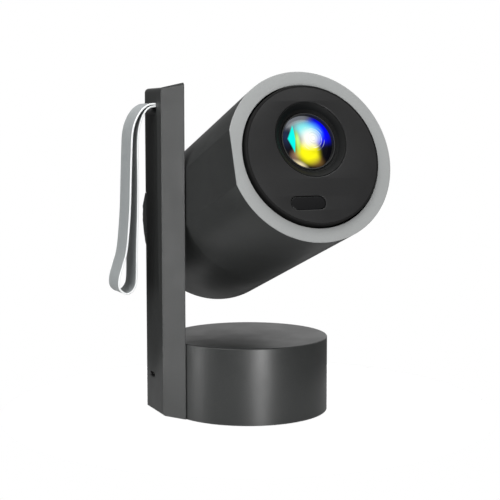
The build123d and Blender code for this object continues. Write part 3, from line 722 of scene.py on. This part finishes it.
class PaintedLensLight(Tree):
    """Painted reflections and highlights laid over each other in the lens's own plane, in units of its radius."""

    def __init__(self, name, lens_radius):
        super().__init__(name)
        self.radius = lens_radius
        self.colour = (0.004, 0.004, 0.006)

    def glow(self, centre, size, turn=0.0, sharp=(0.0, 1.0), shape="round"):
        """A mask that is 1 at its centre and fades to 0 at the edge of an oval, or of a shard."""
        r = self.radius
        spot = self.position((size[0] * r, size[1] * r, WHOLE_DEPTH),
                             (centre[0] * r, centre[1] * r, 0), math.radians(turn), "TEXTURE")
        if shape == "round":
            fade = self.add("ShaderNodeTexGradient", gradient_type="SPHERICAL")
            self.link(spot, fade.inputs["Vector"])
            return self.remap(fade.outputs["Fac"], *sharp)
        split = self.add("ShaderNodeSeparateXYZ")
        self.link(spot, split.inputs["Vector"])
        to_the_left = self.math("MULTIPLY", split.outputs["X"], -1.0)
        to_the_right = self.math("MULTIPLY", split.outputs["X"], SHARD_BACK)
        across = self.math("MAXIMUM", to_the_left, to_the_right)
        along = self.math("ABSOLUTE", split.outputs["Y"], 0.0)
        inside_by = self.math("SUBTRACT", 1.0, self.math("ADD", across, along))
        return self.remap(inside_by, *sharp)

    def lay(self, mask, colour, blend="MIX", share=1.0):
        """Lay one more painted light over what is there already."""
        if share != 1.0:
            mask = self.math("MULTIPLY", mask, share)
        self.colour = self.mix(mask, self.colour, colour, blend)

    def patch(self, what, centre, size, turn, fade, colour, shape="round", broken_by=None):
        """One patch of painted light: where it is, how large and turned, how it fades, and its colour."""
        mask = self.glow(centre, size, turn, fade, shape)
        mask.node.label = what
        if broken_by is not None:
            mask = self.math("MULTIPLY", mask, broken_by)
        self.lay(mask, colour)


LENS_RADIUS = (glass_high.x - glass_low.x) / 2
painted_lens_light = PaintedLensLight("front_glass_painted_reflections", LENS_RADIUS)
streaks = painted_lens_light.remap(painted_lens_light.noise(LENS_RADIUS * 0.45, 2.0, (1, 2, 1)), 0.30, 0.62, 0.82, 1.0)
# Each patch paints light reflected in the glass, and has its place, size, turn in degrees, fade and colour, and
# covers the ones before it.
painted_lens_light.patch("painted reflection above", (-0.34, 0.80), (0.85, 0.46), 14, (0.0, 0.65), (0.16, 0.17, 0.19))
painted_lens_light.patch("navy left", (-0.80, 0.20), (0.30, 0.56), 0, (0.0, 1.0), (0.014, 0.022, 0.060))
painted_lens_light.patch("deep blue", (0.50, 0.36), (0.74, 0.80), -35, (0.04, 0.66), (0.001, 0.002, 0.94))
painted_lens_light.patch("sky blue", (0.20, 0.40), (0.58, 0.48), -25, (0.0, 0.9), (0.12, 0.52, 0.92))
painted_lens_light.patch("pale cyan", (-0.12, 0.44), (0.56, 0.44), 0, (0.0, 0.85), (0.24, 0.80, 0.82))
painted_lens_light.patch("brown left", (-0.52, -0.50), (0.32, 0.34), -35, (0.0, 1.0), (0.26, 0.15, 0.10))
painted_lens_light.patch("amber below", (0.18, -0.66), (0.58, 0.34), -8, (0.0, 0.9), (0.24, 0.13, 0.03))
painted_lens_light.patch("yellow", (-0.03, -0.38), (0.62, 0.55), -16, (0.0, 0.62), (0.95, 0.90, 0.006),
              broken_by=streaks)
painted_lens_light.patch("green edge", (-0.42, 0.02), (0.14, 0.56), 0, (0.0, 0.85), (0.46, 0.86, 0.14))
painted_lens_light.patch("cyan flare", (-0.53, 0.11), (0.26, 0.58), -3, (0.0, 0.25), (0.0, 0.90, 0.78), "shard")
painted_lens_light.patch("painted white highlight", (0.06, 0.12), (0.58, 0.50), 20, (0.0, 0.85), (1.0, 1.0, 0.90))
painted_lens_light.patch("painted cream glint", (-0.38, -0.82), (0.44, 0.15), -28, (0.0, 1.0), (0.84, 0.72, 0.42))
painted_lens_light.patch("dark corner", (0.78, -0.44), (0.52, 0.60), 35, (0.0, 0.7), (0.002, 0.002, 0.004))

# %% [markdown]
# Fine rings of painted reflection lie over the patches, drawn as if each glass behind the first
# one mirrored the same light a little smaller. The inner rings paint shade over what is below them
# and the outer ones paint light over it, and a slow noise breaks them up, so that no ring is complete.

# %% Painted reflection rings in the glass
RINGS_AT = (0.20, 0.12)
SHADE_GREY = (0.62, 0.66, 0.72)
PALE_BLUE = (0.90, 0.95, 1.0)
COOL_BLUE = (0.80, 0.88, 1.0)
PAINTED_REFLECTION_RINGS = ((0.10, 0.022, SHADE_GREY, "MULTIPLY", 0.7), (0.20, 0.020, SHADE_GREY, "MULTIPLY", 0.8),
              (0.28, 0.016, PALE_BLUE, "SCREEN", 0.4), (0.35, 0.024, PALE_BLUE, "SCREEN", 0.85),
              (0.47, 0.018, COOL_BLUE, "SCREEN", 0.5))
for ring_radius, ring_width, tone, blend, ring_share in PAINTED_REFLECTION_RINGS:
    spread = painted_lens_light.glow(RINGS_AT, (1.0, 1.0))
    fade = spread.node.inputs["Value"].links[0].from_socket
    inner = painted_lens_light.remap(fade, 1 - ring_radius - ring_width, 1 - ring_radius)
    outer = painted_lens_light.remap(fade, 1 - ring_radius, 1 - ring_radius + ring_width, 1.0, 0.0)
    broken = painted_lens_light.remap(painted_lens_light.noise(LENS_RADIUS * 0.35, 1.0), 0.36, 0.60)
    band = painted_lens_light.math("MULTIPLY", inner, outer)
    painted_lens_light.lay(painted_lens_light.math("MULTIPLY", band, broken), tone, blend, ring_share)
print(len(PAINTED_REFLECTION_RINGS), "fine rings over the patches")

# %% The glass's colour and glow, both from the painted pattern
DIRECT_LIGHT = 0.08
glass = painted_lens_light.shader.inputs
# The painted reflections give only a little of the base colour and all of the emission, so the glass glows with
# painted light though it is no lamp.
painted_lens_light.link(painted_lens_light.mix(1 - DIRECT_LIGHT, painted_lens_light.colour, (0.0, 0.0, 0.0)), glass["Base Color"])
painted_lens_light.link(painted_lens_light.colour, glass["Emission Color"])
glass["Emission Strength"].default_value = 1.0
painted_lens_light.link(painted_lens_light.remap(painted_lens_light.noise(4 * MM, 3.0), 0.3, 0.8, 0.10, 0.16), glass["Roughness"])
glass["Specular IOR Level"].default_value = 0.12
glass["Coat Weight"].default_value = 0.18
glass["Coat Roughness"].default_value = 0.06
finishes["front_glass"] = painted_lens_light.material
print("coated glass mixed from", len(painted_lens_light.tree.nodes), "nodes")

# %% [markdown]
# The glass itself is a shallow dome on a short cylinder. The dome is part of a ball, and its radius
# follows from how wide the glass is and how far it bulges.

# %% Front glass
lens_axes = head_axes @ Matrix.Translation((LENS_CENTRE[0], LENS_CENTRE[1], 0))
DOME_HEIGHT = 3.2 * MM
DOME_STEPS = 24
dome_ball = (LENS_RADIUS ** 2 + DOME_HEIGHT ** 2) / (2 * DOME_HEIGHT)
dome_centre = glass_high.z - dome_ball
dome_reach = math.asin(LENS_RADIUS / dome_ball)
dome = [(dome_ball * math.sin(a), dome_centre + dome_ball * math.cos(a))
        for a in [dome_reach * k / DOME_STEPS for k in range(DOME_STEPS + 1)]]
glass_back = [(LENS_RADIUS, glass_low.z + 1.0 * MM), (LENS_RADIUS * 0.6, glass_low.z + 0.4 * MM),
              (0, glass_low.z)]
glass_line = dome + glass_back
place("front_glass", lathe("front_glass", glass_line, turns=160), finishes["front_glass"], "lens_group",
      ["front_lens"], lens_axes)
print("front glass bulges", round(DOME_HEIGHT / MM, 1), "mm")

# %% [markdown]
# ## The arm
# The arm is a hollow cover with a bevelled front, a softly curved rear edge and a rounded crown.
# The frame already holds all of that to the tenth of a millimetre, with its strap slot, inlet and
# key opening. So the cover is a copy of that shape, cleaned up: its corner edges get a small
# bevel, which the frame has no need of.


# %% Softened copies
SOFT_WIDTH = 0.3 * MM
SOFT_FROM_ANGLE = math.radians(38)
SMOOTH_UP_TO = math.radians(30)
FLAT_WITHIN = math.radians(0.6)


def softened(name, node, finish, body):
    """A copy of a frame piece with a small bevel along its sharp edges."""
    mesh = nodes[node].data.copy()
    mesh.name = name
    work = bmesh.new()
    work.from_mesh(mesh)
    bmesh.ops.remove_doubles(work, verts=work.verts, dist=1e-6)
    bmesh.ops.dissolve_limit(work, angle_limit=FLAT_WITHIN, verts=work.verts, edges=work.edges)
    work.to_mesh(mesh)
    work.free()
    piece = place(name, mesh, finish, body, [node])
    bevel = piece.modifiers.new("soft_edges", "BEVEL")
    bevel.width = SOFT_WIDTH
    bevel.segments = 2
    bevel.limit_method = "ANGLE"
    bevel.angle_limit = SOFT_FROM_ANGLE
    bevel.use_clamp_overlap = True
    bevel.harden_normals = True
    mesh.polygons.foreach_set("use_smooth", [True] * len(mesh.polygons))
    mesh.set_sharp_from_angle(angle=SMOOTH_UP_TO)
    return piece


softened("arm_side_cover", "arm_cover", finishes["arm_plastic"], "stand")
softened("arm_inner_plate", "arm_chassis", finishes["chassis_plastic"], "stand")
softened("power_wedge_key", "power_key", finishes["key_plastic"], "power_key")
softened("rear_grille", "rear_cover", finishes["panel_plastic"], "head")

# %% [markdown]
# ## The carrying strap
# The strap is one flat band. Both its ends go into the arm's slot and are held by a pin there; the
# rest hangs as a long narrow loop with a drop-shaped end. A flat strap keeps its width and
# thickness, so it is modelled directly: a line of points in the plane of the loop, and a
# flat-oval section that is carried along it. A cloth simulation would only blur its edges.

# %% The strap's line
STRAP_WIDTH = 22.0 * MM
STRAP_THICKNESS = 1.2 * MM
STRAP_LINE_MM = [
    (-58.7, 211.35), (-62.0, 211.35), (-65.4, 211.3), (-69.0, 210.3), (-73.2, 207.0),
    (-77.0, 201.0), (-79.5, 193.0), (-80.4, 181.0), (-81.2, 160.0), (-82.1, 138.0),
    (-84.4, 114.0), (-87.4, 103.0), (-89.9, 94.5), (-89.9, 88.2), (-87.0, 84.8),
    (-83.3, 84.1), (-79.6, 87.2), (-77.9, 93.5), (-77.4, 114.0),
    (-76.5, 138.0), (-76.1, 160.0), (-76.1, 181.0), (-75.5, 192.0), (-73.8, 199.6), (-71.0, 205.6),
    (-68.2, 208.6), (-65.0, 209.75), (-62.0, 209.85), (-58.7, 209.85)]
strap_low, strap_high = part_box("strap_loop")
STRAP_MIDDLE = (strap_low.y + strap_high.y) / 2


def smooth_line(points, per_span=8):
    """A smooth curve through the points (Catmull-Rom)."""
    ends = [points[0] * 2 - points[1]] + points + [points[-1] * 2 - points[-2]]
    line = []
    for a, b, c, d in zip(ends, ends[1:], ends[2:], ends[3:]):
        for k in range(per_span):
            t = k / per_span
            line.append(0.5 * (2 * b + (c - a) * t + (2 * a - 5 * b + 4 * c - d) * t * t
                               + (3 * b - a - 3 * c + d) * t ** 3))
    return line + [points[-1]]


strap_line = smooth_line([Vector((x * MM, z * MM)) for x, z in STRAP_LINE_MM])


# %% The strap's section and body
SELVEDGE_WIDTH = 1.6 * MM
SELVEDGE_HEIGHT = 0.10 * MM


def flat_oval(width, thickness, across=16, round_steps=6):
    """The band's section: two flat faces, full round edges and a slight selvedge along each edge."""
    half, r = width / 2 - thickness / 2, thickness / 2
    section = []
    for side in (1, -1):
        for k in range(across + 1):
            y = side * (half - 2 * half * k / across)
            rim = max(0.0, 1 - (half - abs(y)) / SELVEDGE_WIDTH)
            section.append((-y, -side * (r - SELVEDGE_HEIGHT * (1 - rim))))
        for k in range(1, round_steps):
            a = math.pi * k / round_steps
            section.append((side * (half + r * math.sin(a)), -side * r * math.cos(a)))
    return section


def ribbon(name, line, middle_y, section):
    """Carry a section along a line in the XZ plane and close both ends."""
    work = bmesh.new()
    rings = []
    for i, point in enumerate(line):
        along = (line[min(i + 1, len(line) - 1)] - line[max(i - 1, 0)]).normalized()
        out = Vector((-along.y, along.x))
        rings.append([work.verts.new((point.x + out.x * t, middle_y + y, point.y + out.y * t))
                      for y, t in section])
    count = len(section)
    for low, high in zip(rings, rings[1:]):
        for k in range(count):
            n = (k + 1) % count
            work.faces.new((low[k], low[n], high[n], high[k]))
    work.faces.new(rings[0])
    work.faces.new(list(reversed(rings[-1])))
    mesh = bpy.data.meshes.new(name)
    work.to_mesh(mesh)
    work.free()
    return finish_mesh(mesh, crease=60)


# %% [markdown]
# The band is a tight flat weave with a soft sheen. Its faces are cool grey and its round edges are
# painted almost white, a painted highlight along each edge. The weave is two crossed wave
# patterns, finer than a millimetre, and a slower noise gives the faces their life.


# %% Strap fabric
WEAVE_ZOOM = 20


def band_weave(name, face, edge_highlight_colour):
    t = Tree(name)
    surface = t.shader.inputs
    surface["Sheen Weight"].default_value = 0.35
    surface["Sheen Roughness"].default_value = 0.45
    where = t.add("ShaderNodeTexCoord")
    split = t.add("ShaderNodeSeparateXYZ")
    t.link(where.outputs["Object"], split.inputs["Vector"])
    from_middle = t.math("ABSOLUTE", t.math("SUBTRACT", split.outputs["Y"], STRAP_MIDDLE), 0.0)
    # Painted highlight: the band's round edges are mixed towards near white.
    painted_edge_highlight = t.remap(from_middle, STRAP_WIDTH / 2 - 1.0 * MM, STRAP_WIDTH / 2 - 0.35 * MM)
    threads = []
    for axis, pitch in (("Y", 0.55 * MM), ("Z", 0.70 * MM)):
        wave = t.add("ShaderNodeTexWave", wave_type="BANDS", bands_direction=axis)
        wave.inputs["Scale"].default_value = 1 / (pitch * WEAVE_ZOOM)
        wave.inputs["Distortion"].default_value = 0.4
        wave.inputs["Detail"].default_value = 1.0
        t.link(t.position((WEAVE_ZOOM, WEAVE_ZOOM, WEAVE_ZOOM)), wave.inputs["Vector"])
        threads.append(wave.outputs["Fac"])
    weave = t.math("MAXIMUM", threads[0], threads[1])
    tone = t.mix(weave, shade(face, 0.80), shade(face, 1.08))
    tone = t.mix(t.remap(t.noise(0.012, 4.0), 0.35, 0.75, 0.0, 0.35), tone, shade(face, 0.86))
    t.link(t.mix(painted_edge_highlight, tone, edge_highlight_colour), surface["Base Color"])
    t.link(t.remap(weave, 0.0, 1.0, 0.82, 0.62), surface["Roughness"])
    t.link(t.bump(weave, 0.00008, strength=0.6), surface["Normal"])
    return t.material


finishes["strap_fabric"] = band_weave("flat_woven_band", (0.33, 0.355, 0.36), (0.86, 0.88, 0.88))
strap = place("carrying_strap", ribbon("carrying_strap", strap_line, STRAP_MIDDLE,
                                       flat_oval(STRAP_WIDTH, STRAP_THICKNESS)),
              finishes["strap_fabric"], None, ["strap_anchor", "strap_loop"])
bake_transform(strap)

# %% [markdown]
# ## Floor and light
# The object stands on a plain pale floor in an almost white studio. Dark plastic gets its shape
# from what it mirrors, so the room is far from even. It is bright high up behind the object on
# the right, which lights the top of the base and the head's upper edge; it is dim everywhere
# below the table's height and to the left, which keeps the arm's outer side and the head's
# underside dark. For the same reason the floor is a small round top of milky glass: it is white to
# look at, but it throws little light back up.

# %% Floor
FLOOR_RADIUS = 0.17
FLOOR_GLOW = 0.60
FLOOR_OPACITY = 0.30
floor_mesh = bpy.data.meshes.new("studio_floor")
floor_rim = [(x, y, 0) for x, y in circle(FLOOR_RADIUS)]
floor_mesh.from_pydata(floor_rim, [], [tuple(range(len(floor_rim)))])
floor = bpy.data.objects.new("studio_floor", floor_mesh)
floor_tree = Tree("pale_floor")
floor_tree.shader.inputs["Roughness"].default_value = 0.9
floor_tree.shader.inputs["Specular IOR Level"].default_value = 0.1
floor_tree.link(floor_tree.mix(floor_tree.noise(0.6, 2.0), (0.86, 0.865, 0.865), (0.90, 0.90, 0.90)),
                floor_tree.shader.inputs["Base Color"])
floor_tree.shader.inputs["Emission Color"].default_value = (1, 1, 1, 1)
floor_tree.shader.inputs["Emission Strength"].default_value = FLOOR_GLOW
floor_tree.shader.inputs["Alpha"].default_value = FLOOR_OPACITY
floor_mesh.materials.append(floor_tree.material)
bpy.context.scene.collection.objects.link(floor)
print("floor disc", round(2 * FLOOR_RADIUS / MM), "mm across")

# %% Room
ROOM_DIM = 0.13
ROOM_BRIGHT = 0.85
ROOM_TOP = 0.20
BELOW_TABLE = 0.25
BEHIND_RIGHT = (0.66, 0.62, 0.42)
NEARLY_OVERHEAD = (0.1, -0.1, 1.0)
world = bpy.data.worlds.new("studio_room")
world.use_nodes = True
bpy.context.scene.world = world
room = world.node_tree
backdrop = room.nodes["Background"]
backdrop.inputs["Color"].default_value = (1, 1, 1, 1)
looking = room.nodes.new("ShaderNodeTexCoord").outputs["Generated"]


def room_part(towards, low, high, to_low, to_high):
    """Brightness that rises smoothly with the angle towards one direction."""
    facing = room.nodes.new("ShaderNodeVectorMath")
    facing.operation = "DOT_PRODUCT"
    facing.inputs[1].default_value = Vector(towards).normalized()
    room.links.new(looking, facing.inputs[0])
    level = room.nodes.new("ShaderNodeMapRange")
    level.interpolation_type = "SMOOTHSTEP"
    for socket, number in zip(RANGE_SOCKETS, (low, high, to_low, to_high)):
        level.inputs[socket].default_value = number
    room.links.new(facing.outputs["Value"], level.inputs["Value"])
    return level.outputs["Result"]


def combine(operation, a, b):
    node = room.nodes.new("ShaderNodeMath")
    node.operation = operation
    room.links.new(a, node.inputs[0])
    room.links.new(b, node.inputs[1])
    return node.outputs["Value"]


behind_right = room_part(BEHIND_RIGHT, 0.62, 1.0, ROOM_DIM, ROOM_BRIGHT)
overhead = room_part(NEARLY_OVERHEAD, 0.2, 1.0, 0.0, ROOM_TOP)
above_table = room_part((0, 0, 1), -0.10, 0.12, BELOW_TABLE, 1.0)
brightness = combine("MULTIPLY", combine("ADD", behind_right, overhead), above_table)
room_light = room.nodes.new("ShaderNodeBackground")
room.links.new(brightness, room_light.inputs["Color"])
seen = room.nodes.new("ShaderNodeLightPath")
choose = room.nodes.new("ShaderNodeMixShader")
room.links.new(seen.outputs["Is Camera Ray"], choose.inputs[0])
room.links.new(room_light.outputs["Background"], choose.inputs[1])
room.links.new(backdrop.outputs["Background"], choose.inputs[2])
room.links.new(choose.outputs["Shader"], room.nodes["World Output"].inputs["Surface"])
print("room brightness runs from", ROOM_DIM * BELOW_TABLE, "to", ROOM_BRIGHT + ROOM_TOP)

# %% [markdown]
# Four softboxes do the rest. A tall narrow one in front draws the upright band of light on the
# base, and one at the left draws the pale bevel of the arm. A box at the upper left and a box
# overhead fill in the ring, the panel and the top of the head.


# %% Lights
def soft_light(name, place_at, aim, size, power):
    """A rectangular softbox that faces the point it aims at."""
    data = bpy.data.lights.new(name, "AREA")
    data.shape = "RECTANGLE"
    data.size, data.size_y = size
    data.energy = power
    light = bpy.data.objects.new(name, data)
    light.location = place_at
    light.rotation_euler = (Vector(aim) - Vector(place_at)).to_track_quat("-Z", "Y").to_euler()
    bpy.context.scene.collection.objects.link(light)
    print(name, "gives", power, "W")


middle = (cad_low + cad_high) / 2
soft_light("front_strip", (-0.12, -1.13, -0.02), middle, (0.26, 0.76), 9.5)
soft_light("left_strip", (-1.10, 0.14, 0.16), middle, (0.12, 1.00), 4.6)
soft_light("left_fill", (-0.95, -0.55, 0.85), middle, (0.8, 0.8), 7.0)
soft_light("top_box", (0.10, -0.25, 1.2), middle, (0.9, 0.7), 9.0)

# %% [markdown]
# The plain view transform keeps the greys as they were mixed and lets the backdrop reach white.

# %% Finish
bpy.context.scene.view_settings.view_transform = "Standard"
